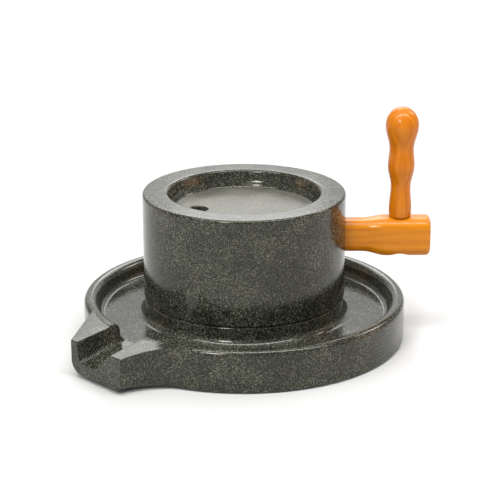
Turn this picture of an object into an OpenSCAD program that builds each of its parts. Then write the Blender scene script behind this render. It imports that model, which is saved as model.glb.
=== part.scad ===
// Stone hand mill with a catch tray, a pouring spout and a wooden crank.
//
// The tray and the bed stone are cut from one block. A steel pin is grouted in the middle of the bed, and
// a flanged bush turns on it and carries the runner stone just clear of the bed. Food goes down the feed
// hole from the dish on top, is ground between the two dressed faces, falls into the trough and runs out
// of the spout. The crank is an arm wedged in a socket in the runner's side, with a turned grip that spins
// in the arm's head.
//
// Frame: origin at the centre of the resting face, +Z up, spout along -Y. The crank rests at crank_angle
// from +X towards +Y.

/* [Tray] */
// Outer radius of the tray
tray_r = 160; // [156:1:166]
// Height of the rim and of the bed stone's grinding face
tray_h = 42; // [40:1:46]
// Radius of the trough's outer wall
wall_r = 146; // [144:1:149]
// Depth of the trough below the rim
trough_depth = 18; // [15:1:20]
// Radius of the bed stone
bed_r = 99; // [97:1:100]

/* [Spout] */
// Distance of the spout's front face from the mill's axis
spout_reach = 196.5; // [190:0.5:202]
// Half width of the front face on its straight-sided, +X side
spout_right = 37.3; // [32:1:38]
// Half width of the front face on its flared, -X side
spout_left = 33.5; // [32:0.5:40]
// Height of the front face's top edge
spout_tip_h = 36.4; // [34:0.2:39]
// Height of the channel's floor at the mouth
channel_mouth_h = 16; // [13:0.5:20]

/* [Runner stone] */
// Radius of the runner stone
runner_r = 100; // [98:1:104]
// Height of the runner stone
runner_h = 105.5; // [100:0.1:112]
// Gap between the two grinding faces
grinding_gap = 0.5; // [0.3:0.1:1]
// Radius of the dish on top
dish_r = 74.5; // [70:0.5:76]
// Depth of the dish at its wall
dish_depth = 17.5; // [14:0.2:18]
// Radius of the feed hole
feed_r = 9; // [8:0.5:11]
// Distance of the feed hole from the axis
feed_offset = 44.8; // [44:0.5:52]
// Direction of the feed hole
feed_angle = 226.5; // [195:0.5:255]

/* [Grinding faces] */
// Sectors in the dressing of each face
sectors = 8; // [6:1:10]
// Furrows in each sector
furrows = 4; // [2:1:4]
// Width of a furrow
furrow_w = 2.6; // [1.5:0.1:3.5]
// Depth of a furrow
furrow_depth = 1.4; // [0.8:0.1:1.8]

/* [Centre pin] */
// Radius of the steel pin
pin_r = 8; // [6:0.5:9]
// Height of the pin's tip
pin_top = 74; // [70:1:76]
// Outer radius of the bush
bush_r = 13; // [11:0.5:15]
// Radial clearance of a running fit
running_fit = 0.05; // [0.02:0.01:0.08]

/* [Crank] */
// Direction of the crank at rest
crank_angle = 45; // [20:1:80]
// Distance of the arm's end from the axis
arm_end = 183.6; // [180:0.2:188]
// Width of the arm's neck
neck_w = 24; // [22:1:26]
// Height of the arm's neck
neck_h = 32.2; // [29:0.2:33]
// Width of the arm's head
head_w = 31; // [29:1:34]
// Height of the arm's head
head_h = 38.6; // [34:1:40]
// Height of the head's top face
head_top = 121.8; // [119:0.5:124]
// Distance of the grip's axis from the mill's axis
grip_offset = 153.6; // [151:0.2:157]
// Height of the grip above the arm
grip_h = 110.7; // [105:0.5:120]
// Largest radius of the grip's knob
knob_r = 16.2; // [14:0.2:18]

/* [Hidden] */
$fn = 96;

stone_colour = "#4a4d45";
arm_colour = "#e0901c";
grip_colour = "#c8641a";

trough_z = tray_h - trough_depth;
runner_z = tray_h + grinding_gap;
runner_top = runner_z + runner_h;
dish_z = runner_top - dish_depth;
dish_sag = 1.2;

// Roundings of the turned profiles
rim_round = 5.5;
lip_round = 7.5;
wall_fillet = 7;
bed_fillet = 8;
bed_shoulder = 2.5;
foot_round = 2.5;
runner_round = 2.8;
dish_lip = 3.5;
dish_fillet = 4;
dish_foot_r = 70.5;

// The spout, with u along -Y from the mill's axis
spout_root = 100;
crease_u = 150;
heel_u = 153;
heel_rise = 4.2;
flare_slope = 0.62;
side_fillet = 66;
corner_round = 9;
// The corner's arc meets both faces at a slight angle
corner_bite = 0.6;
underside_slope = atan(heel_rise / (spout_reach - heel_u));
channel_start = 141;
channel_left = -22.6;
channel_right = 4.4;
channel_fall = atan((trough_z - channel_mouth_h) / (spout_reach - channel_start));

// The pin's hole, its grout and the bush
socket_top = 80;
grout_r = 17;
grout_z = 12;
recess_r = 22;
recess_depth = 2;
flange_r = 20;
flange_z = tray_h - recess_depth;
bush_top = 72;
pin_z = 16;

// The dressed ring on each grinding face
dress_inner = 26;
dress_outer = 92;

// The arm, with x along the crank from the mill's axis
tenon_x = 63;
tenon_w = 18;
tenon_h = 22;
tenon_flare = 1;
scribe_gap = 0.15;
neck_x = 121;
head_x = 138;
neck_top = head_top - 2.5;
neck_z = neck_top - neck_h / 2;
head_z = head_top - head_h / 2;
arm_round = 6;
socket_side = 0.2;
wedge_t = 2.2;
wedge_out = runner_r - 1.5;

// The grip's tenon, its washer and its screw
tenon_r = 7;
knob_z = 92.5;
counterbore_r = 13;
counterbore_h = 8;
tenon_play = 0.4;
washer_r = 12;
washer_t = 1.6;
screw_r = 2;
screw_len = 20;
screw_head_r = 4.6;
screw_head_h = 3;
counterbore_z = head_top - head_h + counterbore_h;
tenon_z = counterbore_z - tenon_play;

// Points along an arc
function arc(c, r, from, to, n = 12) =
    [for (i = [0 : n]) c + r * [cos(from + (to - from) * i / n), sin(from + (to - from) * i / n)]];

// Smooth step from a to b, level at both ends
function ease(a, b, t) = a + (b - a) * (1 - cos(180 * t)) / 2;

// ---- Bed stone and tray ----

// Half section of the turned block
function base_section() = concat(
    [[0, 0]],
    arc([tray_r - foot_round, foot_round], foot_round, -90, 0),
    arc([tray_r - rim_round, tray_h - rim_round], rim_round, 0, 90),
    arc([wall_r + lip_round, tray_h - lip_round], lip_round, 90, 180),
    arc([wall_r - wall_fillet, trough_z + wall_fillet], wall_fillet, 0, -90),
    arc([bed_r + bed_fillet, trough_z + bed_fillet], bed_fillet, -90, -180),
    arc([bed_r - bed_shoulder, tray_h - bed_shoulder], bed_shoulder, 0, 90),
    [[0, tray_h]]
);

// Centre of the concave side of the spout: touches the straight side and the tray's outer face
side_centre = [
    spout_right + side_fillet,
    -sqrt(pow(tray_r + side_fillet, 2) - pow(spout_right + side_fillet, 2))
];

// The side's direction from that centre at the spout's tip
side_start = 180 - asin((-spout_reach - side_centre.y) / side_fillet);

// Plan of the spout: a straight flare on -X, a hollow sweep on +X
function spout_plan() = concat(
    [
        [-spout_right, -spout_root],
        [-spout_left - flare_slope * (spout_reach - spout_root) / 2, -(spout_reach + spout_root) / 2],
        [-spout_left, -spout_reach]
    ],
    arc(side_centre, side_fillet, side_start, atan2(-side_centre.y, -side_centre.x), 24),
    [[spout_right, -spout_root]]
);

// Side view of the spout, as [u, z]
spout_side = [
    [spout_root, 0], [heel_u, 0], [spout_reach, heel_rise],
    [spout_reach, spout_tip_h], [crease_u, tray_h], [spout_root, tray_h]
];

// Everything outside a rounded lower corner that stands at the origin and opens towards +X and +Y
module corner_cut() difference() {
    translate([-1, -1]) square(corner_round + 1);
    translate([corner_round, corner_round]) circle(corner_round + corner_bite);
}

module spout_block() difference() {
    intersection() {
        linear_extrude(tray_h) polygon(spout_plan());
        rotate([90, 0, -90]) linear_extrude(tray_r, center = true) polygon(spout_side);
    }
    // Both lower edges are rounded along the rising underside
    translate([-spout_left, -spout_reach, heel_rise])
        rotate([0, 0, atan(flare_slope)]) rotate([-90 - underside_slope, 0, 0]) mirror([0, 1, 0])
            translate([0, 0, -2]) linear_extrude(tray_r / 2) corner_cut();
    translate([side_centre.x, side_centre.y, heel_rise * (-side_centre.y - heel_u) / (spout_reach - heel_u)])
        rotate([-underside_slope, 0, 0])
            rotate_extrude() translate([side_fillet, 0]) corner_cut();
}

// The channel's section as [x, height above its floor]: a steep wall on -X, a shelving one on +X
channel_section = concat(
    [[channel_left - 2.1, 30]],
    arc([channel_left + 5, 5], 5, 184, 270, 6),
    arc([channel_right - 4, 4], 4, -90, -37, 6),
    [
        [channel_right + 13.3, 17.4], [channel_right + 18, 18.8],
        [channel_right + 20.5, 20.3], [channel_right + 20.5, 30]
    ]
);

module channel_cut()
    translate([0, -channel_start, trough_z]) rotate([90 + channel_fall, 0, 0])
        translate([0, 0, -20]) linear_extrude(90) polygon(channel_section);

// Furrows of one grinding face: parallel to each sector's leading edge, sunk below z = 0
module dressing() intersection() {
    difference() {
        cylinder(r = dress_outer, h = 2 * furrow_depth, center = true);
        cylinder(r = dress_inner, h = 3 * furrow_depth, center = true);
    }
    for (s = [0 : sectors - 1], k = [0 : furrows - 1])
        rotate([0, 0, s * 360 / sectors]) translate([dress_inner + 16 * k - 6, 13 * k, -furrow_depth])
            cube([dress_outer, furrow_w, 2 * furrow_depth]);
}

module base_stone() color(stone_colour) difference() {
    union() {
        rotate_extrude($fn = 180) polygon(base_section());
        difference() {
            spout_block();
            translate([0, 0, -1]) cylinder(r = (tray_r + wall_r) / 2, h = tray_h + 2);
        }
    }
    channel_cut();
    translate([0, 0, tray_h]) dressing();
    translate([0, 0, flange_z]) cylinder(r = recess_r, h = recess_depth + 1);
    translate([0, 0, grout_z]) cylinder(r = grout_r, h = tray_h);
}

// ---- Centre pin ----

module pin_grout() color("#9a958a") translate([0, 0, grout_z]) difference() {
    cylinder(r = grout_r, h = flange_z - grout_z);
    translate([0, 0, pin_z - grout_z]) cylinder(r = pin_r, h = tray_h);
}

module centre_pin() color("#a8abad") rotate_extrude() polygon(concat(
    [[0, pin_z], [pin_r, pin_z]],
    arc([pin_r - 2, pin_top - 2], 2, 0, 90, 6),
    [[0, pin_top]]
));

module pin_bush() color("#b08d4a") difference() {
    union() {
        translate([0, 0, flange_z]) cylinder(r = flange_r, h = runner_z - flange_z);
        translate([0, 0, flange_z]) cylinder(r = bush_r, h = bush_top - flange_z);
    }
    translate([0, 0, flange_z - 1]) cylinder(r = pin_r + running_fit, h = bush_top);
}

// ---- Runner stone ----

// Half section of the turned stone
function runner_section() = concat(
    [[0, runner_z]],
    arc([runner_r - 1.5, runner_z + 1.5], 1.5, -90, 0, 6),
    arc([runner_r - runner_round, runner_top - runner_round], runner_round, 0, 90),
    arc([dish_r + dish_lip, runner_top - dish_lip], dish_lip, 90, 180),
    arc([dish_foot_r - dish_fillet, dish_z + dish_fillet], dish_fillet, 0, -90, 6),
    [for (i = [1 : 8]) [(dish_foot_r - dish_fillet) * (1 - i / 8), dish_z - dish_sag * (1 - pow(1 - i / 8, 2))]]
);

module runner_stone() color(stone_colour) difference() {
    rotate_extrude($fn = 180) polygon(runner_section());
    rotate([0, 0, feed_angle]) translate([feed_offset, 0, runner_z - 1]) cylinder(r = feed_r, h = runner_h);
    translate([0, 0, runner_z - 1]) cylinder(r = bush_r + running_fit, h = socket_top - runner_z + 1);
    translate([0, 0, runner_z]) mirror([0, 0, 1]) dressing();
    rotate([0, 0, crank_angle]) arm_socket();
}

// The socket in the runner's side, taller than the tenon by a wedge above and below
module arm_socket() translate([tenon_x - 1, -tenon_w / 2 - socket_side, neck_z - tenon_h / 2 - wedge_t])
    cube([runner_r, tenon_w + 2 * socket_side, tenon_h + 2 * wedge_t]);

// ---- Crank ----

// A slice of the arm across its length, from x to x + t
module arm_slice(x, z, w, h, round, t = 0.1)
    translate([x, 0, z]) rotate([90, 0, 90]) linear_extrude(t) rounded_rect(w, h, round);

module rounded_rect(w, h, r) {
    square([w - 2 * r, h], center = true);
    square([w, h - 2 * r], center = true);
    for (x = [-1, 1], y = [-1, 1]) translate([x * (w / 2 - r), y * (h / 2 - r)]) circle(r, $fn = 32);
}

// The tenon spreads towards its inner end, so that the wedges lock it
module tenon() rotate([90, 0, 0]) linear_extrude(tenon_w, center = true) polygon([
    [tenon_x, neck_z - tenon_h / 2 - tenon_flare], [wedge_out, neck_z - tenon_h / 2],
    [runner_r + 4, neck_z - tenon_h / 2], [runner_r + 4, neck_z + tenon_h / 2],
    [wedge_out, neck_z + tenon_h / 2], [tenon_x, neck_z + tenon_h / 2 + tenon_flare]
]);

// The neck, with its shoulder scribed to the runner's round side
module neck() difference() {
    arm_slice(runner_r - 4, neck_z, neck_w, neck_h, arm_round, neck_x - runner_r + 4);
    translate([0, 0, neck_z]) cylinder(r = runner_r + scribe_gap, h = 2 * neck_h, center = true, $fn = 180);
}

module handle_arm() color(arm_colour) rotate([0, 0, crank_angle]) difference() {
    union() {
        tenon();
        neck();
        hull() {
            arm_slice(neck_x, neck_z, neck_w, neck_h, arm_round);
            arm_slice(head_x, head_z, head_w, head_h, arm_round);
        }
        arm_slice(head_x, head_z, head_w, head_h, arm_round, arm_end - 3 - head_x);
        hull() {
            arm_slice(arm_end - 3.1, head_z, head_w, head_h, arm_round);
            arm_slice(arm_end - 0.1, head_z, head_w - 5, head_h - 5, arm_round - 2);
        }
    }
    translate([grip_offset, 0, 0]) cylinder(r = tenon_r + running_fit, h = head_top + 1);
    translate([grip_offset, 0, counterbore_z - 2 * counterbore_h])
        cylinder(r = counterbore_r, h = 2 * counterbore_h);
}

// One wedge lies on the tenon and one under it
module socket_wedges() color("#c98a35") rotate([0, 0, crank_angle]) for (side = [-1, 1])
    translate([0, 0, neck_z]) rotate([90, 0, 0]) linear_extrude(tenon_w, center = true) polygon([
        [tenon_x, side * (tenon_h / 2 + wedge_t)],
        [tenon_x, side * (tenon_h / 2 + tenon_flare)],
        [wedge_out, side * tenon_h / 2],
        [wedge_out, side * (tenon_h / 2 + wedge_t)]
    ]);

// The grip's turned outline as [height above the arm, radius] at each swell and waist
grip_stations = [[3, 11], [8, 11.2], [31, 9.7], [52, 13.1], [68.8, 11.9], [knob_z, knob_r]];

function grip_section() = concat(
    [[0, tenon_z], [tenon_r, tenon_z], [tenon_r, head_top]],
    arc([8.5, head_top + 2.5], 2.5, -90, -20, 5),
    [
        for (i = [1 : len(grip_stations) - 1], k = [0 : 7])
            let (a = grip_stations[i - 1], b = grip_stations[i])
            [ease(a[1], b[1], k / 8), head_top + a[0] + (b[0] - a[0]) * k / 8]
    ],
    [for (a = [0 : 6 : 90]) [knob_r * cos(a), head_top + knob_z + (grip_h - knob_z) * sin(a)]]
);

module on_grip_axis() rotate([0, 0, crank_angle]) translate([grip_offset, 0, 0]) children();

module grip() color(grip_colour) on_grip_axis() difference() {
    rotate_extrude() polygon(grip_section());
    translate([0, 0, tenon_z - 1]) cylinder(r = screw_r, h = screw_len + 1, $fn = 32);
}

module grip_washer() color("#b4b6b8") on_grip_axis() translate([0, 0, tenon_z - washer_t]) difference() {
    cylinder(r = washer_r, h = washer_t);
    translate([0, 0, -1]) cylinder(r = screw_r, h = washer_t + 2, $fn = 32);
}

module grip_screw() color("#b4b6b8") on_grip_axis() translate([0, 0, tenon_z - washer_t]) difference() {
    union() {
        cylinder(r = screw_r, h = screw_len + washer_t - 1, $fn = 32);
        translate([0, 0, -screw_head_h]) rotate_extrude($fn = 48) polygon(concat(
            [[0, 0]],
            arc([screw_head_r - 2, 2], 2, -90, 0, 6),
            [[screw_head_r, screw_head_h], [0, screw_head_h]]
        ));
    }
    for (turn = [0, 90]) rotate([0, 0, turn])
        translate([-2.6, -0.6, -screw_head_h - 1]) cube([5.2, 1.2, 2.6]);
}

base_stone();
pin_grout();
centre_pin();
pin_bush();
runner_stone();
handle_arm();
socket_wedges();
grip();
grip_washer();
grip_screw();
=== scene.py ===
"""Stone hand mill: a bed stone in a spouted tray, a turning runner stone and a crank with an upright grip.

Each operator builds one piece of the mill round its fixed frame. Sizes are in metres.
"""

import math

import bmesh
import bpy
from bpy.props import FloatProperty, FloatVectorProperty, IntProperty, PointerProperty
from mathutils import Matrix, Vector


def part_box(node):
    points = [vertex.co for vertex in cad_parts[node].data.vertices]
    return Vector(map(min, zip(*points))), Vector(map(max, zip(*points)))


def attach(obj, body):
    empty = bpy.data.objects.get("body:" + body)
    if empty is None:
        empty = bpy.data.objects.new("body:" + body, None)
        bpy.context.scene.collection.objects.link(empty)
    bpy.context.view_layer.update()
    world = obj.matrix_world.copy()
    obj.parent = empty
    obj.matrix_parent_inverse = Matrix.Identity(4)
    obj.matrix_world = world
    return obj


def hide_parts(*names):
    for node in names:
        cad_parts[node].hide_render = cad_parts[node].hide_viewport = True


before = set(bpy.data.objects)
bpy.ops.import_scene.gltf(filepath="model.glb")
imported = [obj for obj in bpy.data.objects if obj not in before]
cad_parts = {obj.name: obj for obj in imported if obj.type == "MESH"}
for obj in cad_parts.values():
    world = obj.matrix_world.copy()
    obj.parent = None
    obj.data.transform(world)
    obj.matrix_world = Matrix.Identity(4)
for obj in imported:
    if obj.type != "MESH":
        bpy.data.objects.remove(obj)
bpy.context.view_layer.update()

bl_info = {
    "name": "Stone hand mill",
    "version": (1, 0, 0),
    "blender": (4, 5, 0),
    "location": "View3D > Sidebar > Hand mill",
    "description": "Builds a stone hand mill piece by piece round its fixed frame",
    "category": "Add Mesh",
}

BASE_LOW, BASE_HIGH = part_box("base_stone")
RUNNER_LOW, RUNNER_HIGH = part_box("runner_stone")
MM = 0.001
WELD = 2e-6

# Radii of the holes and pieces that meet inside the mill
PIN_HOLE_RADIUS, GROUT_RECESS_RADIUS = 0.017, 0.022
BUSH_SOCKET_RADIUS, BUSH_SOCKET_TOP = 0.01305, 0.080
WASHER_POCKET_RADIUS, GRIP_BORE_RADIUS, GRIP_TENON_RADIUS = 0.013, 0.00705, 0.007

# The spout: where its left side, its right side and its hollow sweep lie, how its left side flares, where
# its top and its underside start to slope, and how steep its underside is
SPOUT_LEFT, SPOUT_RIGHT, SWEEP_RADIUS = -0.0335, 0.0373, 0.066
FLARE, LEAN_START, UNDER_START, UNDER_SLOPE = 0.62, 0.150, 0.153, 0.0966
LEFT_ROUNDING, RIGHT_ROUNDING, ROUNDING_BITE = 0.016, 0.0095, 0.0004

# The channel: where it starts, where its floor starts to fall, and the X that it widens about
CHANNEL_START, CHANNEL_FALL_START, CHANNEL_MIDDLE = 0.138, 0.141, -0.009


# ---- Sizes and finishes that a user may change ----


class BedSizes(bpy.types.PropertyGroup):
    """Sizes of the bed stone, its tray and its spout"""

    tray_radius: FloatProperty(
        name="Tray radius", description="Outer radius of the tray", default=0.160, unit="LENGTH"
    )
    tray_height: FloatProperty(
        name="Tray height", description="Height of the rim and the bed", default=BASE_HIGH.z, unit="LENGTH"
    )
    wall_radius: FloatProperty(
        name="Wall radius", description="Inner radius of the tray's wall", default=0.146, unit="LENGTH"
    )
    trough_depth: FloatProperty(
        name="Trough depth", description="Depth of the trough under the rim", default=0.018, unit="LENGTH"
    )
    bed_radius: FloatProperty(
        name="Bed radius", description="Radius of the raised grinding bed", default=0.099, unit="LENGTH"
    )
    spout_reach: FloatProperty(
        name="Spout reach", description="Distance of the spout's tip from the axis",
        default=-BASE_LOW.y, unit="LENGTH",
    )
    spout_tip_height: FloatProperty(
        name="Spout tip height", description="Height of the spout's top at its tip",
        default=0.0364, unit="LENGTH",
    )
    mouth_height: FloatProperty(
        name="Mouth height", description="Height of the channel's floor at the tip",
        default=0.016, unit="LENGTH",
    )


class RunnerSizes(bpy.types.PropertyGroup):
    """Sizes of the runner stone and of the furrows on both grinding faces"""

    radius: FloatProperty(
        name="Radius", description="Radius of the runner stone",
        default=0.100, unit="LENGTH",
    )
    dish_radius: FloatProperty(
        name="Dish radius", description="Radius of the dish at the top of its wall",
        default=0.0745, unit="LENGTH",
    )
    dish_depth: FloatProperty(
        name="Dish depth", description="Depth of the dish in the top", default=0.0175, unit="LENGTH"
    )
    feed_radius: FloatProperty(
        name="Feed hole radius", description="Radius of the hole that grain falls through",
        default=0.009, unit="LENGTH",
    )
    feed_offset: FloatProperty(
        name="Feed hole offset", description="Distance of the feed hole from the axis",
        default=0.0448, unit="LENGTH",
    )
    feed_angle: FloatProperty(
        name="Feed hole angle", description="Direction of the feed hole from the axis",
        default=math.radians(226.5), subtype="ANGLE",
    )
    sectors: IntProperty(
        name="Sectors", description="Sectors of furrows on a grinding face",
        default=8, min=4, max=12,
    )
    furrow_width: FloatProperty(
        name="Furrow width", description="Width of one furrow", default=0.0026, unit="LENGTH"
    )
    furrow_depth: FloatProperty(
        name="Furrow depth", description="Depth of one furrow", default=0.0014, unit="LENGTH"
    )


class CrankSizes(bpy.types.PropertyGroup):
    """Sizes of the crank's arm and its grip"""

    angle: FloatProperty(
        name="Crank angle", description="Direction of the crank at rest",
        default=math.radians(45), subtype="ANGLE",
    )
    reach: FloatProperty(
        name="Arm reach", description="Distance of the arm's end from the axis", default=0.1836, unit="LENGTH"
    )
    neck_width: FloatProperty(
        name="Neck width", description="Width of the arm's neck",
        default=0.024, unit="LENGTH",
    )
    neck_height: FloatProperty(
        name="Neck height", description="Height of the arm's neck", default=0.0322, unit="LENGTH"
    )
    head_width: FloatProperty(
        name="Head width", description="Width of the arm's head",
        default=0.031, unit="LENGTH",
    )
    head_height: FloatProperty(
        name="Head height", description="Height of the arm's head", default=0.0386, unit="LENGTH"
    )
    head_top: FloatProperty(
        name="Head top", description="Height of the head's top face",
        default=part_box("handle_arm")[1].z, unit="LENGTH",
    )
    grip_offset: FloatProperty(
        name="Grip offset", description="Distance of the grip's axis from the mill's axis",
        default=0.1536, unit="LENGTH",
    )
    grip_height: FloatProperty(
        name="Grip height", description="Height of the grip above the arm", default=0.1107, unit="LENGTH"
    )
    knob_radius: FloatProperty(
        name="Knob radius", description="Largest radius of the grip's knob", default=0.0162, unit="LENGTH"
    )


class Finishes(bpy.types.PropertyGroup):
    """Colours and grain of the mill's materials"""

    stone_dark: FloatVectorProperty(
        name="Dark stone", description="Colour of the stone's dark crystals",
        default=(0.0045, 0.005, 0.0035), subtype="COLOR", size=3, min=0, max=1,
    )
    stone_mid: FloatVectorProperty(
        name="Grey stone", description="Colour of the stone's body",
        default=(0.011, 0.012, 0.0078), subtype="COLOR", size=3, min=0, max=1,
    )
    stone_light: FloatVectorProperty(
        name="Light stone", description="Colour of the stone's pale crystals",
        default=(0.165, 0.165, 0.125), subtype="COLOR", size=3, min=0, max=1,
    )
    crystal: FloatProperty(
        name="Crystal size", description="Typical size of the stone's crystals", default=0.0007, unit="LENGTH"
    )
    arm_lacquer: FloatVectorProperty(
        name="Arm lacquer", description="Colour of the lacquered arm",
        default=(0.67, 0.235, 0.004), subtype="COLOR", size=3, min=0, max=1,
    )
    grip_lacquer: FloatVectorProperty(
        name="Grip lacquer", description="Colour of the lacquered grip",
        default=(0.63, 0.195, 0.0035), subtype="COLOR", size=3, min=0, max=1,
    )


class StageLook(bpy.types.PropertyGroup):
    """Floor, lights and camera"""

    floor_tone: FloatVectorProperty(
        name="Floor", description="Colour of the floor", default=(0.62, 0.62, 0.615), subtype="COLOR", size=3,
        min=0, max=1,
    )
    room_light: FloatProperty(name="Room light", description="Strength of the room's even light", default=0.4)
    lens: FloatProperty(
        name="Lens", description="Focal length of the camera", default=119.65 * MM, unit="LENGTH"
    )


# ---- Modelling helpers ----


def arc(x, z, radius, start, end, steps=12):
    """Points along an arc, in degrees."""
    turn = [math.radians(start + (end - start) * i / steps) for i in range(steps + 1)]
    return [(x + radius * math.cos(a), z + radius * math.sin(a)) for a in turn]


def ease(a, b, t):
    """Smooth step from a to b, level at both ends."""
    return a + (b - a) * (1 - math.cos(math.pi * t)) / 2


def alone(piece=None):
    """Leaves object mode clean, with only this piece selected and active."""
    if bpy.context.mode != "OBJECT":
        bpy.ops.object.mode_set(mode="OBJECT")
    bpy.ops.object.select_all(action="DESELECT")
    if piece:
        piece.select_set(True)
        bpy.context.view_layer.objects.active = piece


def named(name):
    """Names the piece just added and puts its place in its mesh."""
    piece = bpy.context.active_object
    piece.name = piece.data.name = name
    bpy.ops.object.transform_apply(location=True, rotation=True, scale=True)
    return piece


def block(name, low, high):
    """A cube primitive between two corners."""
    alone()
    low, high = Vector(low), Vector(high)
    bpy.ops.mesh.primitive_cube_add(size=1, location=(low + high) / 2, scale=high - low)
    return named(name)


def drum(name, radius, low, high, centre=(0, 0), steps=128):
    """A cylinder primitive standing on Z."""
    alone()
    bpy.ops.mesh.primitive_cylinder_add(
        vertices=steps, radius=radius, depth=high - low, location=(centre[0], centre[1], (low + high) / 2)
    )
    return named(name)


def traced(name, points):
    """A chain of edges extruded point by point, left in edit mode."""
    alone()
    bpy.ops.mesh.primitive_plane_add(size=MM, location=points[0])
    piece = named(name)
    bpy.ops.object.mode_set(mode="EDIT")
    bpy.ops.mesh.select_mode(type="VERT")
    bpy.ops.mesh.select_all(action="SELECT")
    bpy.ops.mesh.merge(type="CENTER")
    for here, there in zip(points, points[1:]):
        step = Vector(there) - Vector(here)
        bpy.ops.mesh.extrude_vertices_move(TRANSFORM_OT_translate={"value": step})
    bpy.ops.mesh.select_all(action="SELECT")
    return piece


def turned(name, outline, centre=(0, 0), steps=256):
    """Spins a half section of (radius, height) points round a vertical axis."""
    piece = traced(name, [(centre[0] + r, centre[1], z) for r, z in outline])
    bpy.ops.mesh.spin(steps=steps, angle=math.tau, center=(centre[0], centre[1], 0), axis=(0, 0, 1))
    bpy.ops.mesh.select_all(action="SELECT")
    bpy.ops.mesh.remove_doubles(threshold=WELD)
    bpy.ops.mesh.normals_make_consistent(inside=False)
    alone(piece)
    return piece


def pushed(name, outline, offset):
    """Fills a closed outline of 3-D points and extrudes it by an offset."""
    piece = traced(name, outline)
    bpy.ops.mesh.edge_face_add()
    bpy.ops.mesh.extrude_region_move(TRANSFORM_OT_translate={"value": offset})
    bpy.ops.mesh.select_all(action="SELECT")
    bpy.ops.mesh.normals_make_consistent(inside=False)
    alone(piece)
    return piece


def spun(piece, angle):
    """Turns a finished mesh about the mill's axis; without a window the operator turns the other way."""
    alone(piece)
    bpy.ops.object.mode_set(mode="EDIT")
    bpy.ops.mesh.select_all(action="SELECT")
    bpy.ops.transform.rotate(value=-angle, orient_axis="Z", center_override=(0, 0, 0))
    alone(piece)


def cut(piece, tool, operation="DIFFERENCE"):
    """Applies a Boolean with a tool and throws the tool away."""
    alone(piece)
    step = piece.modifiers.new("cut", "BOOLEAN")
    step.operation, step.solver, step.object = operation, "EXACT", tool
    bpy.ops.object.modifier_apply(modifier=step.name)
    mesh = tool.data
    bpy.data.objects.remove(tool)
    bpy.data.meshes.remove(mesh)


def sliced(piece, point, normal):
    """Cuts off what lies beyond a plane and closes the cut."""
    alone(piece)
    bpy.ops.object.mode_set(mode="EDIT")
    bpy.ops.mesh.select_all(action="SELECT")
    bpy.ops.mesh.bisect(plane_co=point, plane_no=normal, use_fill=True, clear_outer=True)
    alone(piece)


def pick_edges(piece, wanted):
    """Selects the edges whose two ends pass a test, and leaves the piece in edit mode."""
    alone(piece)
    bpy.ops.object.mode_set(mode="EDIT")
    bpy.ops.mesh.select_mode(type="EDGE")
    bpy.ops.mesh.select_all(action="DESELECT")
    shape = bmesh.from_edit_mesh(piece.data)
    for edge in shape.edges:
        edge.select = wanted(edge.verts[0].co, edge.verts[1].co)
    shape.select_flush_mode()
    bmesh.update_edit_mesh(piece.data)


def bevelled(piece, wanted, width):
    """Rounds the edges that pass a test."""
    pick_edges(piece, wanted)
    bpy.ops.mesh.bevel(offset=width, segments=3, affect="EDGES", clamp_overlap=True)
    alone(piece)


def painted(piece, *materials):
    """Gives the piece its materials, the first one everywhere."""
    piece.data.materials.clear()
    for material in materials:
        piece.data.materials.append(material)


def face_paint(piece, index, wanted):
    """Gives one of the piece's materials to the faces whose centre and normal pass a test."""
    for face in piece.data.polygons:
        if wanted(face.center, face.normal):
            face.material_index = index


def smoothed(piece, angle=35):
    """Smooth shading up to an angle, weighted by the faces' areas."""
    alone(piece)
    bpy.ops.object.mode_set(mode="EDIT")
    bpy.ops.mesh.select_all(action="SELECT")
    bpy.ops.mesh.remove_doubles(threshold=4e-6)
    bpy.ops.mesh.dissolve_degenerate(threshold=4e-6)
    alone(piece)
    bpy.ops.object.shade_smooth_by_angle(angle=math.radians(angle))
    step = piece.modifiers.new("even", "WEIGHTED_NORMAL")
    step.mode, step.keep_sharp, step.weight = "FACE_AREA", True, 50
    bpy.ops.object.modifier_apply(modifier=step.name)


def fitted(piece, node, body):
    """Hands the finished piece to the frame in place of its plain node."""
    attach(piece, body)
    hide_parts(node)
    alone()


# ---- Material helpers ----


def put(tree, kind, sockets=None, **settings):
    """Adds a node, sets its settings and fills its sockets with values or with other nodes' outputs."""
    node = tree.nodes.new(kind)
    for name, value in settings.items():
        setattr(node, name, value)
    for name, value in (sockets or {}).items():
        if isinstance(value, bpy.types.NodeSocket):
            tree.links.new(value, node.inputs[name])
        else:
            node.inputs[name].default_value = value
    return node


def noise(tree, vector, scale, detail, roughness=0.5):
    """A noise texture's node."""
    return put(tree, "ShaderNodeTexNoise", {
        "Vector": vector, "Scale": scale, "Detail": detail, "Roughness": roughness})


def vectors(tree, operation, a, b):
    """A vector maths node; a scale takes a number as b."""
    second = "Scale" if operation == "SCALE" else 1
    return put(tree, "ShaderNodeVectorMath", {0: a, second: b}, operation=operation)


def blended(tree, factor, a, b):
    """A colour mix; a and b may be colours or sockets."""
    node = put(tree, "ShaderNodeMix", data_type="RGBA")
    for place, value in ((0, factor), (6, a), (7, b)):
        if isinstance(value, bpy.types.NodeSocket):
            tree.links.new(value, node.inputs[place])
        elif place:
            node.inputs[place].default_value = (*value[:3], 1)
        else:
            node.inputs[place].default_value = value
    return node.outputs[2]


def sums(tree, operation, a, b=0.0, c=0.0):
    """A maths node; a, b and c may be numbers or sockets."""
    return put(tree, "ShaderNodeMath", {0: a, 1: b, 2: c}, operation=operation).outputs[0]


def spread(tree, value, low, high, to_low=0.0, to_high=1.0):
    """Maps a range of values smoothly to another and clamps it."""
    return put(
        tree, "ShaderNodeMapRange",
        {"Value": value, "From Min": low, "From Max": high, "To Min": to_low, "To Max": to_high},
        interpolation_type="SMOOTHSTEP",
    ).outputs[0]


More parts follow.
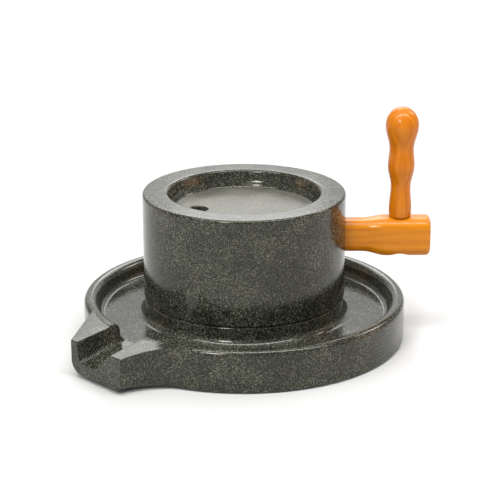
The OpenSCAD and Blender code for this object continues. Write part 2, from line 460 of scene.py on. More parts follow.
def new_group(name, inputs, outputs):
    """A shader node group with named sockets, each given as (name, kind, default)."""
    tree = bpy.data.node_groups.new(name, "ShaderNodeTree")
    for label, kind, default in inputs:
        socket = tree.interface.new_socket(label, in_out="INPUT", socket_type="NodeSocket" + kind)
        if default is not None:
            socket.default_value = default
    for label, kind in outputs:
        tree.interface.new_socket(label, in_out="OUTPUT", socket_type="NodeSocket" + kind)
    return tree, put(tree, "NodeGroupInput").outputs, put(tree, "NodeGroupOutput").inputs


def use_group(tree, group, sockets):
    """Places a group in a material with its own values."""
    node = put(tree, "ShaderNodeGroup")
    node.node_tree = group
    for name, value in sockets.items():
        if isinstance(value, bpy.types.NodeSocket):
            tree.links.new(value, node.inputs[name])
        else:
            node.inputs[name].default_value = value
    return node.outputs


def crystals_group():
    """Interlocking mineral crystals in three sizes, with dark, grey and pale grains."""
    tree, given, result = new_group(
        "crystals",
        [("Vector", "Vector", None), ("Size", "Float", 0.0017), ("Dark", "Color", None),
         ("Body", "Color", None), ("Pale", "Color", None), ("Pale share", "Float", 0.2)],
        [("Color", "Color"), ("Pale", "Float"), ("Cloud", "Float"), ("Pits", "Float")],
    )
    scale = sums(tree, "DIVIDE", 1.0, given["Size"])
    wobble = noise(tree, given["Vector"], sums(tree, "MULTIPLY", scale, 0.8), 2.0)
    shift = vectors(tree, "SUBTRACT", wobble.outputs["Color"], (0.5, 0.5, 0.5))
    push = vectors(tree, "SCALE", shift.outputs[0], given["Size"])
    place = vectors(tree, "ADD", given["Vector"], push.outputs[0]).outputs[0]

    def grains(size, channel):
        finer = sums(tree, "MULTIPLY", scale, size)
        cells = put(tree, "ShaderNodeTexVoronoi", {"Vector": place, "Scale": finer})
        return put(tree, "ShaderNodeSeparateColor", {"Color": cells.outputs["Color"]}).outputs[channel]

    coarse, middle, fine = grains(0.7, 0), grains(1.25, 1), grains(2.3, 2)
    cloud = noise(tree, given["Vector"], 26.0, 4.0, 0.6).outputs[0]
    half_fine = sums(tree, "MULTIPLY", fine, 0.5)
    dark_mask = spread(tree, sums(tree, "MULTIPLY_ADD", coarse, 0.5, half_fine), 0.3, 0.62)
    limit = sums(tree, "SUBTRACT", 1.0, given["Pale share"])
    swing = sums(tree, "MULTIPLY_ADD", cloud, 0.2, -0.1)
    pale_mask = spread(tree, sums(tree, "ADD", middle, swing), limit, sums(tree, "ADD", limit, 0.06))
    pale_coarse = spread(tree, sums(tree, "ADD", coarse, swing), 0.93, 0.97)
    pale_fine = sums(tree, "MULTIPLY", spread(tree, fine, 0.8, 0.92), 0.5)
    broken = spread(tree, fine, 0.0, 0.6, 0.45, 1.0)
    pale_large = sums(tree, "MULTIPLY", sums(tree, "MAXIMUM", pale_mask, pale_coarse), broken)
    pale_all = sums(tree, "MAXIMUM", pale_large, pale_fine)
    body = blended(tree, dark_mask, given["Dark"], given["Body"])
    tone = blended(tree, pale_all, body, given["Pale"])
    drift = spread(tree, cloud, 0.3, 0.72, 0.8, 1.2)
    shade = put(tree, "ShaderNodeHueSaturation", {"Value": drift, "Color": tone})
    pits = sums(tree, "MULTIPLY_ADD", fine, 0.6, sums(tree, "MULTIPLY", middle, 0.4))
    for name, value in (("Color", shade.outputs[0]), ("Pale", pale_all), ("Cloud", cloud), ("Pits", pits)):
        tree.links.new(value, result[name])
    return tree


def grain_group():
    """Long wood grain along X: broad growth bands, streaks and fine fibres."""
    tree, given, result = new_group(
        "wood_grain",
        [("Vector", "Vector", None), ("Band width", "Float", 0.006),
         ("Light", "Color", None), ("Deep", "Color", None)],
        [("Color", "Color"), ("Figure", "Float"), ("Fibres", "Float")],
    )
    stretch = put(tree, "ShaderNodeMapping", {"Vector": given["Vector"], "Scale": (0.1, 1, 1)}).outputs[0]
    flow = noise(tree, stretch, 42.0, 3.0).outputs[0]
    ring = put(tree, "ShaderNodeSeparateXYZ", {"Vector": stretch}).outputs
    across = sums(tree, "MULTIPLY_ADD", ring[2], 0.8, ring[1])
    waves = sums(tree, "MULTIPLY_ADD", flow, 3.2, sums(tree, "DIVIDE", across, given["Band width"]))
    bands = sums(tree, "PINGPONG", waves, 0.5)
    figure = spread(tree, bands, 0.02, 0.48)
    fine = put(tree, "ShaderNodeMapping", {"Vector": given["Vector"], "Scale": (0.035, 1, 1)}).outputs[0]
    fibres = noise(tree, fine, 900.0, 3.0, 0.65)
    streaks = sums(tree, "MULTIPLY", noise(tree, fine, 190.0, 2.0).outputs[0], 0.6)
    threads = sums(tree, "MULTIPLY_ADD", fibres.outputs[0], 0.3, streaks)
    mixed = sums(tree, "MULTIPLY_ADD", figure, 0.22, threads)
    tone = blended(tree, spread(tree, mixed, 0.25, 0.85), given["Deep"], given["Light"])
    for name, value in (("Color", tone), ("Figure", figure), ("Fibres", fibres.outputs[0])):
        tree.links.new(value, result[name])
    return tree


def edge_group():
    """A mask that is 1 along rounded and sharp outer edges, broken up by noise."""
    tree, given, result = new_group(
        "edge_wear",
        [("Vector", "Vector", None), ("Width", "Float", 0.001), ("Breakup", "Float", 300.0)],
        [("Mask", "Float")],
    )
    soft = put(tree, "ShaderNodeBevel", {"Radius": given["Width"]}, samples=6).outputs[0]
    plain = put(tree, "ShaderNodeNewGeometry").outputs["Normal"]
    turn = put(tree, "ShaderNodeVectorMath", {0: soft, 1: plain}, operation="DOT_PRODUCT").outputs["Value"]
    broken = noise(tree, given["Vector"], given["Breakup"], 3.0)
    mask = sums(tree, "MULTIPLY", spread(tree, turn, 0.995, 0.86), spread(tree, broken.outputs[0], 0.42, 0.6))
    tree.links.new(mask, result["Mask"])
    return tree


def started(name, **uniform):
    """A new material with a Principled shader, its uniform values set on the shader itself."""
    material = bpy.data.materials.new(name)
    material.use_nodes = True
    tree = material.node_tree
    tree.nodes.clear()
    shader = put(tree, "ShaderNodeBsdfPrincipled", {k.replace("_", " "): v for k, v in uniform.items()})
    output = put(tree, "ShaderNodeOutputMaterial")
    tree.links.new(shader.outputs[0], output.inputs["Surface"])
    place = put(tree, "ShaderNodeTexCoord").outputs["Object"]
    return material, tree, shader, place


def feed(tree, shader, **sockets):
    """Links outputs to the shader's sockets."""
    for name, value in sockets.items():
        tree.links.new(value, shader.inputs[name.replace("_", " ")])


def bumped(tree, height, distance, strength=1.0):
    """A bump normal from a height."""
    bump = put(tree, "ShaderNodeBump", {"Height": height, "Distance": distance, "Strength": strength})
    return bump.outputs[0]


def stone_material(name, crystals, looks, ground=False, worn=False):
    """Speckled stone: polished and faintly uneven, ground matt for a grinding face, or worn by grain with a
    lighter meal colour that is partly painted reflection.
    """
    material, tree, shader, place = started(name, IOR=1.46, Specular_Tint=(1, 0.98, 0.88, 1))
    grains = use_group(tree, crystals, {
        "Vector": place, "Size": looks.crystal, "Dark": (*looks.stone_dark, 1), "Body": (*looks.stone_mid, 1),
        "Pale": (*looks.stone_light, 1), "Pale share": 0.17 if not ground else 0.24,
    })
    if ground:
        colour = blended(tree, 0.45, grains["Color"], (0.17, 0.17, 0.15))
        rough = spread(tree, grains["Cloud"], 0.3, 0.7, 0.58, 0.8)
        tooth = noise(tree, place, 900.0, 4.0).outputs[0]
        normal = bumped(tree, sums(tree, "ADD", tooth, grains["Pits"]), 0.0003, 0.8)
    elif worn:
        # Lighter meal colour: partly real meal dust, partly a painted reflection that lightens the dish floor
        meal_and_painted_reflection = spread(tree, grains["Cloud"], 0.3, 0.7, 0.1, 0.2)
        colour = blended(tree, meal_and_painted_reflection, grains["Color"], (0.44, 0.43, 0.36))
        rough = spread(tree, grains["Cloud"], 0.3, 0.7, 0.26, 0.36)
        normal = bumped(tree, grains["Pits"], 0.0001, 0.6)
    else:
        colour = grains["Color"]
        smear = noise(tree, place, 90.0, 5.0, 0.65).outputs[0]
        uneven = sums(tree, "MULTIPLY_ADD", grains["Pits"], 0.04, spread(tree, smear, 0.3, 0.7, 0.07, 0.13))
        rough = sums(tree, "MULTIPLY_ADD", grains["Pale"], 0.04, uneven)
        swell = noise(tree, place, 60.0, 3.0).outputs[0]
        height = sums(tree, "MULTIPLY_ADD", grains["Pits"], 0.08, swell)
        normal = bumped(tree, height, 0.00022, 0.5)
    feed(tree, shader, Base_Color=colour, Roughness=rough, Normal=normal)
    return material


def deepened(light):
    """The darker colour of the same wood's late growth."""
    return light[0] * 0.8, light[1] * 0.68, light[2] * 0.5


def lacquered_material(name, light, deep, turn, band):
    """Clear-lacquered wood with its grain along the piece."""
    grain, wear = shared_group("wood_grain", grain_group), shared_group("edge_wear", edge_group)
    material, tree, shader, place = started(
        name, IOR=1.5, Coat_Weight=0.4, Coat_Roughness=0.1, Coat_IOR=1.45, Specular_IOR_Level=0.15)
    along = put(tree, "ShaderNodeMapping", {"Vector": place, "Rotation": turn}).outputs[0]
    wood = use_group(tree, grain, {
        "Vector": along, "Band width": band, "Light": (*light, 1), "Deep": (*deep, 1)})
    rubbed = use_group(tree, wear, {"Vector": place, "Width": 0.0016, "Breakup": 260.0})["Mask"]
    smudge = noise(tree, place, 75.0, 4.0).outputs[0]
    bare = [min(1, c * 1.3 + 0.03) for c in light]
    colour = blended(tree, sums(tree, "MULTIPLY", rubbed, 0.35), wood["Color"], bare)
    worn = sums(tree, "MULTIPLY", rubbed, 0.12)
    rough = sums(tree, "ADD", spread(tree, smudge, 0.3, 0.7, 0.26, 0.42), worn)
    normal = bumped(tree, sums(tree, "MULTIPLY_ADD", wood["Fibres"], 0.5, wood["Figure"]), 0.00012, 0.35)
    feed(tree, shader, Base_Color=colour, Roughness=rough, Normal=normal)
    return material


def grout_material(crystals):
    """Cement grout: matt, sandy and slightly stained."""
    material, tree, shader, place = started("cement_grout", IOR=1.5, Specular_IOR_Level=0.3)
    sand = use_group(tree, crystals, {
        "Vector": place, "Size": 0.0007, "Dark": (0.2, 0.19, 0.17, 1), "Body": (0.34, 0.32, 0.29, 1),
        "Pale": (0.5, 0.48, 0.43, 1), "Pale share": 0.2,
    })
    feed(tree, shader, Base_Color=sand["Color"], Roughness=spread(tree, sand["Cloud"], 0.3, 0.7, 0.8, 0.95),
         Normal=bumped(tree, sand["Pits"], 0.0003, 0.7))
    return material


def metal_material(name, tone, dull, low, high, spiral):
    """Turned metal: fine tool rings, smudges and dull spots."""
    material, tree, shader, place = started(name, IOR=1.5)
    wound = put(tree, "ShaderNodeMapping", {"Vector": place, "Scale": spiral}).outputs[0]
    rings = noise(tree, wound, 60.0, 2.0).outputs[0]
    smudge = noise(tree, place, 140.0, 4.0).outputs[0]
    stain = spread(tree, smudge, 0.5, 0.75)
    tree.links.new(spread(tree, stain, 0, 1, 1.0, 0.82), shader.inputs["Metallic"])
    feed(tree, shader, Base_Color=blended(tree, stain, tone, dull),
         Roughness=sums(tree, "MULTIPLY_ADD", rings, 0.12, spread(tree, smudge, 0.3, 0.7, low, high)),
         Normal=bumped(tree, rings, 0.00005, 0.5))
    return material


def shared_group(name, maker):
    """A node group made the first time it is wanted."""
    return bpy.data.node_groups.get(name) or maker()


def shared_material(name, maker):
    """A material made the first time it is wanted."""
    return bpy.data.materials.get(name) or maker()


def stone(name, **kind):
    """One of the mill's stone finishes: polished_stone, ground_stone or worn_stone_with_painted_reflection."""
    looks = bpy.context.scene.mill_finishes
    return shared_material(
        name, lambda: stone_material(name, shared_group("crystals", crystals_group), looks, **kind))


# ---- Pieces ----


def furrow_tool(face_height):
    """All furrows of one grinding face, as one cutting tool centred on the face."""
    sizes = bpy.context.scene.mill_runner
    wide, deep, inner, outer = sizes.furrow_width, sizes.furrow_depth, 0.026, 0.092
    rows = []
    for k in range(4):
        start, side = inner + 0.016 * k - 0.006, 0.013 * k
        row = block(f"furrow_{k}", (start, side, -deep), (outer + 0.01, side + wide, deep))
        bevelled(row, lambda a, b: abs(a.z - b.z) < MM / 9 and abs(a.y - b.y) < MM / 9, deep * 0.55)
        rows.append(row)
    alone(rows[0])
    for row in rows:
        row.select_set(True)
    bpy.ops.object.join()
    tool = rows[0]
    bpy.ops.object.mode_set(mode="EDIT")
    bpy.ops.mesh.select_all(action="SELECT")
    share = math.tau / sizes.sectors
    bpy.ops.mesh.spin(
        steps=sizes.sectors - 1, dupli=True, angle=math.tau - share, center=(0, 0, 0), axis=(0, 0, 1))
    ring = turned("ring", [(inner, -0.003), (outer, -0.003), (outer, 0.003), (inner, 0.003), (inner, -0.003)])
    cut(tool, ring, "INTERSECT")
    alone(tool)
    bpy.ops.transform.translate(value=(0, 0, face_height))
    bpy.ops.object.transform_apply(location=True, rotation=True, scale=True)
    return tool


def left_cove(reach):
    """A bar that rounds the spout's straight lower edge."""
    r, over, start, length = LEFT_ROUNDING, -2 * MM, 3 * MM, 75 * MM
    outline = [(over, over), (r, over)] + arc(r, r, r + ROUNDING_BITE, -90, -180, 14) + [(over, r)]
    foot = (SPOUT_LEFT + FLARE * start, -reach - start, UNDER_SLOPE * (reach - UNDER_START + start))
    section = [(foot[0] + x, foot[1], foot[2] + z) for x, z in outline]
    return pushed("left_cove", section, (-FLARE * length, length, -UNDER_SLOPE * length))


def right_cove(side):
    """A ring that rounds the spout's swept lower edge, tilted with the underside."""
    r, inner, over = RIGHT_ROUNDING, SWEEP_RADIUS - 2 * MM, -2 * MM
    outline = [(inner, over), (SWEEP_RADIUS + r, over)]
    outline += arc(SWEEP_RADIUS + r, r, r + ROUNDING_BITE, -90, -180, 10) + [(inner, r), (inner, over)]
    ring = turned("right_cove", outline, side, 256)
    bpy.ops.object.mode_set(mode="EDIT")
    bpy.ops.mesh.select_all(action="SELECT")
    tilt = math.atan(UNDER_SLOPE)
    bpy.ops.transform.rotate(value=tilt, orient_axis="X", center_override=(side.x, side.y, 0))
    bpy.ops.transform.translate(value=(0, 0, UNDER_SLOPE * (-UNDER_START - side.y)))
    alone(ring)
    return ring


def spout_body():
    """The spout: a straight flare on the left, a hollow sweep on the right, rounded below."""
    sizes = bpy.context.scene.mill_bed
    reach, top = sizes.spout_reach, sizes.tray_height
    side_x = SPOUT_RIGHT + SWEEP_RADIUS
    side = Vector((side_x, -math.sqrt((sizes.tray_radius + SWEEP_RADIUS) ** 2 - side_x ** 2)))
    tangent = side * (sizes.tray_radius / side.length)
    spout = block("spout", (-0.0676, -reach, 0), (tangent.x, -0.100, top))
    sliced(spout, (SPOUT_LEFT, -reach, 0), (-1, -FLARE, 0))
    sliced(spout, (0, -LEAN_START, top), (0, sizes.spout_tip_height - top, reach - LEAN_START))
    sliced(spout, (0, -UNDER_START, 0), (0, -0.0042, -(reach - UNDER_START)))

    def flared(point):
        return (point.x - SPOUT_LEFT) + FLARE * (point.y + reach) < 0.0004 and point.z > 0.030

    bevelled(spout, lambda a, b: flared(a) and flared(b) and abs(a.y - b.y) > 1e-5, 0.0013)
    bevelled(spout, lambda a, b: max(a.y, b.y) < 1e-5 - reach, 0.0011)
    cut(spout, drum("sweep", SWEEP_RADIUS, -0.01, 0.06, (side.x - 0.0002, side.y + 0.0002), 192))
    cut(spout, left_cove(reach))
    cut(spout, right_cove(side))
    cut(spout, drum("inside", UNDER_START, -0.01, 0.06, steps=192))
    return spout


def channel_section():
    """Outline of the channel and the height of its lip: steep on the left, shelving on the right."""
    left, right, lip = -0.0226, 0.0044, 0.0199
    section = [(left - 0.0030, lip + 0.010)]
    section += arc(left - 0.0030, lip - 0.0014, 0.0014, 92, 10, 5)
    section += arc(left + 0.0050, 0.0050, 0.0050, 184, 270, 8)
    section += arc(right - 0.0045, 0.0045, 0.0045, -90, -37, 7)
    section += arc(right + 0.0205, lip - 0.0080, 0.0080, 142, 91, 8)
    return section + [(right + 0.0205, lip + 0.010)], lip


def channel_tool():
    """The tool that cuts the channel: its outline is extruded along the spout, station by station."""
    sizes = bpy.context.scene.mill_bed
    section, lip = channel_section()
    floor, end = sizes.tray_height - sizes.trough_depth, sizes.spout_reach + 0.006
    fall = (floor - sizes.mouth_height) / (sizes.spout_reach - CHANNEL_FALL_START)
    lean = (sizes.tray_height - sizes.spout_tip_height) / (sizes.spout_reach - LEAN_START)
    stations = [0.1405, 0.1425, 0.1445, 0.1465, 0.150, 0.156, 0.166, 0.180, 0.1935, 0.1962, 0.1975, end]
    widening = {CHANNEL_START: 1.22, 0.1405: 1.12, 0.1425: 1.06, 0.1445: 1.02,
                0.1962: 1.004, 0.1975: 1.02, end: 1.05}

    def height(u, z):
        """The floor falls and the lip leans, so heights between them are blended."""
        drop = (floor - fall * max(u - CHANNEL_FALL_START, 0)) + z
        tilt = (1 - z / lip) if z < lip else 0.0
        top = sizes.tray_height - lean * max(u - LEAN_START, 0)
        return drop * tilt + (top + (z - lip) + 0.00003) * (1 - tilt)

    def places(u, y):
        wide = widening.get(u, 1.0)
        return [Vector((CHANNEL_MIDDLE + (x - CHANNEL_MIDDLE) * wide, y, height(u, z))) for x, z in section]

    piece = traced("channel", places(CHANNEL_START, -CHANNEL_START))
    bpy.ops.mesh.edge_face_add()
    before = CHANNEL_START
    for u in stations:
        bpy.ops.mesh.extrude_region_move(TRANSFORM_OT_translate={"value": (0, before - u, 0)})
        shape = bmesh.from_edit_mesh(piece.data)
        fresh = [v for v in shape.verts if v.select]
        ring = [min(fresh, key=lambda v: (v.co - place).length) for place in places(before, -u)]
        for vertex, place in zip(ring, places(u, -u)):
            vertex.co = place
        bmesh.update_edit_mesh(piece.data)
        before = u
    bpy.ops.mesh.select_all(action="SELECT")
    bpy.ops.mesh.normals_make_consistent(inside=False)
    alone(piece)
    return piece


def build_bed_stone():
    """The bed stone: raised bed, trough, wall and spout in one block, with a dressed grinding face."""
    sizes = bpy.context.scene.mill_bed
    outer, top, wall, bed = sizes.tray_radius, sizes.tray_height, sizes.wall_radius, sizes.bed_radius
    floor = top - sizes.trough_depth
    outline = [(0, 0)]
    outline += arc(outer - 2.5 * MM, 2.5 * MM, 2.5 * MM, -90, 0, 8)
    outline += arc(outer - 5.5 * MM, top - 5.5 * MM, 5.5 * MM, 0, 90, 14)
    outline += arc(wall + 7.5 * MM, top - 7.5 * MM, 7.5 * MM, 90, 180, 14)
    outline += arc(wall - 7 * MM, floor + 7 * MM, 7 * MM, 0, -90, 12)
    outline += [(0.130, floor - 0.1 * MM), (0.1225, floor - 0.16 * MM), (0.115, floor - 0.1 * MM)]
    outline += arc(bed + 8 * MM, floor + 8 * MM, 8 * MM, -90, -180, 12)
    outline += arc(bed - 2.5 * MM, top - 2.5 * MM, 2.5 * MM, 0, 90, 8)
    recess, hole = GROUT_RECESS_RADIUS, PIN_HOLE_RADIUS
    outline += [(recess + 0.4 * MM, top), (recess, top - 0.4 * MM), (recess, top - 2 * MM)]
    outline += [(hole + 0.4 * MM, top - 2 * MM), (hole, top - 2.4 * MM), (hole, 0.012), (0, 0.012)]
    piece = turned("bed_stone", outline)
    cut(piece, spout_body(), "UNION")
    cut(piece, channel_tool())
    cut(piece, furrow_tool(top))
    smoothed(piece)
    painted(piece, stone("polished_stone"), stone("ground_stone", ground=True))
    face_paint(piece, 1, lambda c, n: c.z > top - 2.2 * MM and math.hypot(c.x, c.y) < bed - 2.6 * MM)
    face_paint(piece, 1, lambda c, n: n.z < -0.9 and c.z < 0.2 * MM)
    fitted(piece, "base_stone", "base")


def build_runner_stone():
    """The runner stone: dished top, feed hole, socket for the bush and for the crank, dressed underside."""
    sizes, crank = bpy.context.scene.mill_runner, bpy.context.scene.mill_crank
    r, low, top, dish = sizes.radius, RUNNER_LOW.z, RUNNER_HIGH.z, sizes.dish_radius
    floor = top - sizes.dish_depth
    outline = [(0, BUSH_SOCKET_TOP), (BUSH_SOCKET_RADIUS, BUSH_SOCKET_TOP), (BUSH_SOCKET_RADIUS, low)]
    outline += arc(r - 1.5 * MM, low + 1.5 * MM, 1.5 * MM, -90, 0, 6)
    outline += [(r, low + 30 * MM), (r, low + 60 * MM)]
    outline += arc(r - 2.8 * MM, top - 2.8 * MM, 2.8 * MM, 0, 90, 10)
    outline += arc(dish + 3.5 * MM, top - 3.5 * MM, 3.5 * MM, 90, 166, 10)
    # The dish's wall leans in and has a soft ridge half way down
    leaning = ((0.6, 5.5), (1.3, 7.6), (1.75, 9.2), (1.95, 10.2), (2.5, 11.6), (3.2, 12.8))
    outline += [(dish - inward * MM, top - down * MM) for inward, down in leaning]
    outline += arc(dish - 8.2 * MM, floor + 4.2 * MM, 4.2 * MM, -10, -86, 9)
    flat, sag = 0.066, 1.2 * MM
    shares = (0.95, 0.88, 0.8, 0.7, 0.6, 0.5, 0.4, 0.3, 0.2, 0.1)
    outline += [(flat * k, floor - sag * (1 - k * k)) for k in shares]
    outline += [(0, floor - sag)]
    piece = turned("dished_runner", outline)
    x, y = sizes.feed_offset * math.cos(sizes.feed_angle), sizes.feed_offset * math.sin(sizes.feed_angle)
    hole = sizes.feed_radius
    throat = [(0, low - 2 * MM), (hole, low - 2 * MM), (hole, floor - 2.4 * MM)]
    throat += arc(hole + 1.2 * MM, floor - 2.0 * MM, 1.2 * MM, 180, 95, 6)
    throat += [(hole + 1.6 * MM, top), (0, top)]
    cut(piece, turned("throat", throat, (x, y), 96))
    neck_z = crank.head_top - 2.5 * MM - crank.neck_height / 2
    socket = block("socket", (0.062, -0.0092, neck_z - 0.0132), (0.12, 0.0092, neck_z + 0.0132))
    spun(socket, crank.angle)
    cut(piece, socket)
    cut(piece, furrow_tool(low))
    smoothed(piece)
    worn = stone("worn_stone_with_painted_reflection", worn=True)
    painted(piece, stone("polished_stone"), stone("ground_stone", ground=True), worn)
    face_paint(piece, 1, lambda c, n: c.z < low + 2 * MM and math.hypot(c.x, c.y) < r - 1.7 * MM)
    # The dish floor gets the worn stone, whose lighter meal colour is partly real meal dust and partly
    # painted reflection
    face_paint(piece, 2, lambda c, n: n.z > 0.9 and low + 60 * MM < c.z < low + 95 * MM)
    fitted(piece, "runner_stone", "runner")


def build_arm():
    """The crank's arm: a slim neck scribed to the stone, a fuller head and a tenon with spread end."""
    sizes = bpy.context.scene.mill_crank
    wide, high = sizes.neck_width / 2, sizes.neck_height / 2
    neck_z = sizes.head_top - 2.5 * MM - high
    round_off = 8.5 * MM
    section = []
    for cx, cz, start in ((1, 1, 0), (-1, 1, 90), (-1, -1, 180), (1, -1, 270)):
        section += arc(cx * (wide - round_off), cz * (high - round_off), round_off, start, start + 90, 7)
    start = 0.094
    piece = traced("crank_arm", [(start, y, neck_z + z) for y, z in section])
    bpy.ops.mesh.edge_face_add()
    w0, h0 = sizes.neck_width, sizes.neck_height
    x0, w, h, z = start, w0, h0, neck_z
    head_z = sizes.head_top - sizes.head_height / 2
    stops = [(0.108, 0), (0.117, 0)] + [(0.117 + 0.023 * k / 10, k / 10) for k in range(1, 11)]
    stops += [(0.160, 1), (0.176, 1)]
    rings = [(x, ease(w0, sizes.head_width, t), ease(h0, sizes.head_height, t), ease(neck_z, head_z, t))
             for x, t in stops]
    end_round = 4.4 * MM
    for k in range(9):
        a = math.radians(90 * k / 8)
        back = end_round * (1 - math.cos(a)) if k < 8 else end_round
        rings.append((sizes.reach - end_round + end_round * math.sin(a), sizes.head_width - 2 * back * 0.9,
                      sizes.head_height - 2 * back * 0.9, head_z))
    for x, wide_here, high_here, z_here in rings:
        bpy.ops.mesh.extrude_region_move(TRANSFORM_OT_translate={"value": (x - x0, 0, z_here - z)})
        bpy.ops.transform.resize(value=(1, wide_here / w, high_here / h), center_override=(x, 0, z_here))
        x0, w, h, z = x, wide_here, high_here, z_here
    bpy.ops.mesh.select_all(action="SELECT")
    bpy.ops.mesh.remove_doubles(threshold=WELD)
    bpy.ops.mesh.normals_make_consistent(inside=False)
    alone(piece)
    cut(piece, drum("stone_side", 0.10015, 0, 0.2, steps=256))
    tenon = block("tenon", (0.063, -0.009, neck_z - 0.011), (0.104, 0.009, neck_z + 0.011))
    pick_edges(tenon, lambda a, b: max(a.x, b.x) < 0.064 and abs(a.z - b.z) < MM and a.z > neck_z)
    bpy.ops.transform.translate(value=(0, 0, MM))
    pick_edges(tenon, lambda a, b: max(a.x, b.x) < 0.064 and abs(a.z - b.z) < MM and a.z < neck_z)
    bpy.ops.transform.translate(value=(0, 0, -MM))
    cut(piece, tenon, "UNION")
    under = sizes.head_top - sizes.head_height
    top, pocket, bored = sizes.head_top, WASHER_POCKET_RADIUS, GRIP_BORE_RADIUS
    bore = [(0, under - 5 * MM), (pocket + 0.6 * MM, under - 5 * MM), (pocket + 0.6 * MM, under - 0.2 * MM)]
    bore += [(pocket, under + 0.5 * MM), (pocket, under + 8 * MM), (bored, under + 8 * MM)]
    bore += [(bored, top - 0.3 * MM)]
    bore += [(bored + 0.55 * MM, top + 0.2 * MM), (bored + 0.55 * MM, top + 3 * MM), (0, top + 3 * MM)]
    cut(piece, turned("bore", bore, (sizes.grip_offset, 0), 64))
    spun(piece, sizes.angle)
    smoothed(piece, 40)
    light = bpy.context.scene.mill_finishes.arm_lacquer
    painted(piece, lacquered_material("arm_lacquer", light, deepened(light), (0, 0, -sizes.angle), 0.0075))
    fitted(piece, "handle_arm", "runner")


def build_grip():
    """The turned grip: swells and waists under a round knob, on a tenon that turns in the arm."""
    sizes = bpy.context.scene.mill_crank
    top, knob = sizes.head_top, sizes.knob_radius
    x, y = sizes.grip_offset * math.cos(sizes.angle), sizes.grip_offset * math.sin(sizes.angle)
    tenon_z = top - sizes.head_height + 0.0076
    knob_z = 0.0925
    swells = [(0.003, 0.011), (0.008, 0.0112), (0.031, 0.0097), (0.052, 0.0131), (0.0688, 0.0119)]
    swells += [(knob_z, knob)]
    outline = [(0, tenon_z + 20 * MM), (2 * MM, tenon_z + 20 * MM), (2 * MM, tenon_z)]
    outline += [(GRIP_TENON_RADIUS, tenon_z), (GRIP_TENON_RADIUS, top)]
    outline += arc(0.0085, top + 0.0025, 0.0025, -90, -20, 6)
    for (low, a), (high, b) in zip(swells, swells[1:]):
        outline += [(ease(a, b, k / 10), top + low + (high - low) * k / 10) for k in range(10)]
    rise = sizes.grip_height - knob_z
    outline += [(knob * math.cos(math.radians(k)), top + knob_z + rise * math.sin(math.radians(k)))
                for k in range(0, 86, 5)]
    outline += [(0, top + sizes.grip_height)]
    grip = turned("turned_grip", outline, (x, y), 96)
    smoothed(grip, 40)
    light = bpy.context.scene.mill_finishes.grip_lacquer
    painted(grip, lacquered_material("grip_lacquer", light, deepened(light), (0, math.radians(90), 0), 0.006))
    fitted(grip, "grip", "grip")


def finish_fittings():
    """Materials for the pieces that keep the frame's shape: pin, grout, bush, wedges, washer and screw."""
    grout = grout_material(shared_group("crystals", crystals_group))
    steel = metal_material("turned_steel", (0.56, 0.57, 0.58), (0.3, 0.28, 0.26), 0.24, 0.42, (1, 1, 30))
    bronze = metal_material("bush_bronze", (0.62, 0.43, 0.2), (0.3, 0.2, 0.1), 0.28, 0.46, (1, 1, 30))
    wedges = lacquered_material(
        "wedge_wood", (0.55, 0.27, 0.08), (0.36, 0.16, 0.045), (0, 0, math.radians(-45)), 0.003)
    for node, material in (("pin_grout", grout), ("centre_pin", steel), ("pin_bush", bronze),
                           ("socket_wedges", wedges), ("grip_washer", steel), ("grip_screw", steel)):
        painted(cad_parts[node], material)


MILL, WHITE = (0, 0, 0.1), (1, 1, 1)
# Name, place, aim, width and height, watts, colour
LIGHTS = (
    ("overhead", (0, 0, 2.4), (0, 0, 0), (2.6, 2.6), 20, WHITE),
    ("strip", (0.354, -0.354, 1.6), MILL, (2.6, 0.26), 26, WHITE),
    ("key", (0.62, -1.5, 1.2), MILL, (0.35, 0.5), 13, WHITE),
    ("window", (0.37, 1.4, 1.15), MILL, (0.4, 0.5), 5, WHITE),
    ("backdrop", (-1.5, 1.5, 1.22), MILL, (0.36, 0.8), 1.9, WHITE),
    ("wall", (-1.7, 1.7, 0.85), MILL, (2.8, 0.95), 5.5, WHITE),
    ("far_overhead", (-2.3, 2.3, 2.4), (-2.3, 2.3, 0), (3, 3), 95, WHITE),
    ("warm_left", (-1.3, -0.75, 0.3), MILL, (0.8, 0.4), 1.0, (1, 0.55, 0.22)),
    ("warm_right", (1.0, 1.1, 0.3), MILL, (0.8, 0.4), 1.4, (1, 0.45, 0.16)),
)


def light_panel(name, place, aim, size, power, tone):
    """A soft rectangular light turned to its aim."""
    alone()
    bpy.ops.object.light_add(type="AREA", location=place)
    lamp = bpy.context.active_object
    lamp.name = name
    lamp.data.shape, lamp.data.size, lamp.data.size_y = "RECTANGLE", size[0], size[1]
    lamp.data.energy, lamp.data.color = power, tone
    lamp.rotation_euler = (Vector(aim) - Vector(place)).to_track_quat("-Z", "Y").to_euler()


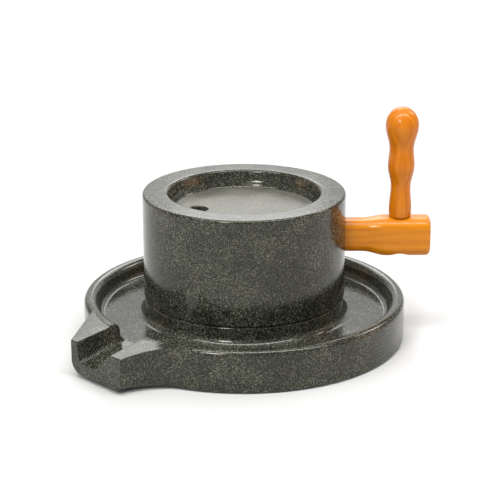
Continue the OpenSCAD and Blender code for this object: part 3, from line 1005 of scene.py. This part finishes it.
def set_stage():
    """A pale floor, the room's light and its panels, and the camera."""
    looks = bpy.context.scene.mill_stage
    alone()
    bpy.ops.mesh.primitive_plane_add(size=14)
    floor = named("floor")
    material, tree, shader, place = started("pale_floor", Roughness=0.9, Specular_IOR_Level=0.1)
    dust = noise(tree, place, 3.0, 3.0).outputs[0]
    dusty = blended(tree, sums(tree, "MULTIPLY", dust, 0.02), looks.floor_tone, (0.56, 0.56, 0.555))
    feed(tree, shader, Base_Color=dusty)
    painted(floor, material)

    world = bpy.data.worlds.new("room")
    bpy.context.scene.world = world
    world.use_nodes = True
    backdrop = world.node_tree.nodes["Background"]
    backdrop.inputs["Color"].default_value = (1, 1, 1, 1)
    backdrop.inputs["Strength"].default_value = looks.room_light

    for light in LIGHTS:
        light_panel(*light)

    alone()
    place = Vector((1.1116, -1.1034, 0.6134))
    turn, dip = math.radians(45), math.radians(18.595)
    look = Vector((-math.sin(turn) * math.cos(dip), math.cos(turn) * math.cos(dip), -math.sin(dip)))
    bpy.ops.object.camera_add(location=place)
    camera = bpy.context.active_object
    camera.name = "camera"
    camera.rotation_euler = look.to_track_quat("-Z", "Y").to_euler()
    camera.data.lens, camera.data.sensor_width = looks.lens / MM, 36
    camera.data.clip_start, camera.data.clip_end = 0.01, 50
    bpy.context.scene.view_settings.view_transform = "Standard"
    bpy.context.scene.camera = camera


# ---- Operators and panel ----


class MILL_OT_bed_stone(bpy.types.Operator):
    """Build the bed stone with its tray and spout"""

    bl_idname = "mill.bed_stone"
    bl_label = "Bed stone"

    def execute(self, context):
        build_bed_stone()
        return {"FINISHED"}


class MILL_OT_runner_stone(bpy.types.Operator):
    """Build the runner stone with its dish and feed hole"""

    bl_idname = "mill.runner_stone"
    bl_label = "Runner stone"

    def execute(self, context):
        build_runner_stone()
        return {"FINISHED"}


class MILL_OT_arm(bpy.types.Operator):
    """Build the crank's arm"""

    bl_idname = "mill.arm"
    bl_label = "Crank arm"

    def execute(self, context):
        build_arm()
        return {"FINISHED"}


class MILL_OT_grip(bpy.types.Operator):
    """Build the turned grip"""

    bl_idname = "mill.grip"
    bl_label = "Grip"

    def execute(self, context):
        build_grip()
        return {"FINISHED"}


class MILL_OT_fittings(bpy.types.Operator):
    """Finish the pin, grout, bush, wedges, washer and screw"""

    bl_idname = "mill.fittings"
    bl_label = "Fittings"

    def execute(self, context):
        finish_fittings()
        return {"FINISHED"}


class MILL_OT_stage(bpy.types.Operator):
    """Set the floor, the lights and the camera"""

    bl_idname = "mill.stage"
    bl_label = "Stage"

    def execute(self, context):
        set_stage()
        return {"FINISHED"}


STEPS = (MILL_OT_bed_stone, MILL_OT_runner_stone, MILL_OT_arm, MILL_OT_grip, MILL_OT_fittings, MILL_OT_stage)
GROUPS = {
    "mill_bed": BedSizes, "mill_runner": RunnerSizes, "mill_crank": CrankSizes,
    "mill_finishes": Finishes, "mill_stage": StageLook,
}


class MILL_PT_panel(bpy.types.Panel):
    """Lists the mill's sizes, finishes and build steps"""

    bl_label = "Hand mill"
    bl_idname = "MILL_PT_panel"
    bl_space_type = "VIEW_3D"
    bl_region_type = "UI"
    bl_category = "Hand mill"

    def draw(self, context):
        for name, group in GROUPS.items():
            box = self.layout.box()
            for field in group.__annotations__:
                box.prop(getattr(context.scene, name), field)
        for step in STEPS:
            self.layout.operator(step.bl_idname)


def register():
    for group in (*GROUPS.values(), *STEPS, MILL_PT_panel):
        bpy.utils.register_class(group)
    for name, group in GROUPS.items():
        setattr(bpy.types.Scene, name, PointerProperty(type=group))


def unregister():
    for name in GROUPS:
        delattr(bpy.types.Scene, name)
    for group in reversed((*GROUPS.values(), *STEPS, MILL_PT_panel)):
        bpy.utils.unregister_class(group)


def main():
    """Registers the panel and builds the whole mill."""
    register()
    bpy.ops.mill.bed_stone()
    bpy.ops.mill.runner_stone()
    bpy.ops.mill.arm()
    bpy.ops.mill.grip()
    bpy.ops.mill.fittings()
    bpy.ops.mill.stage()


if __name__ == "__main__":
    main()
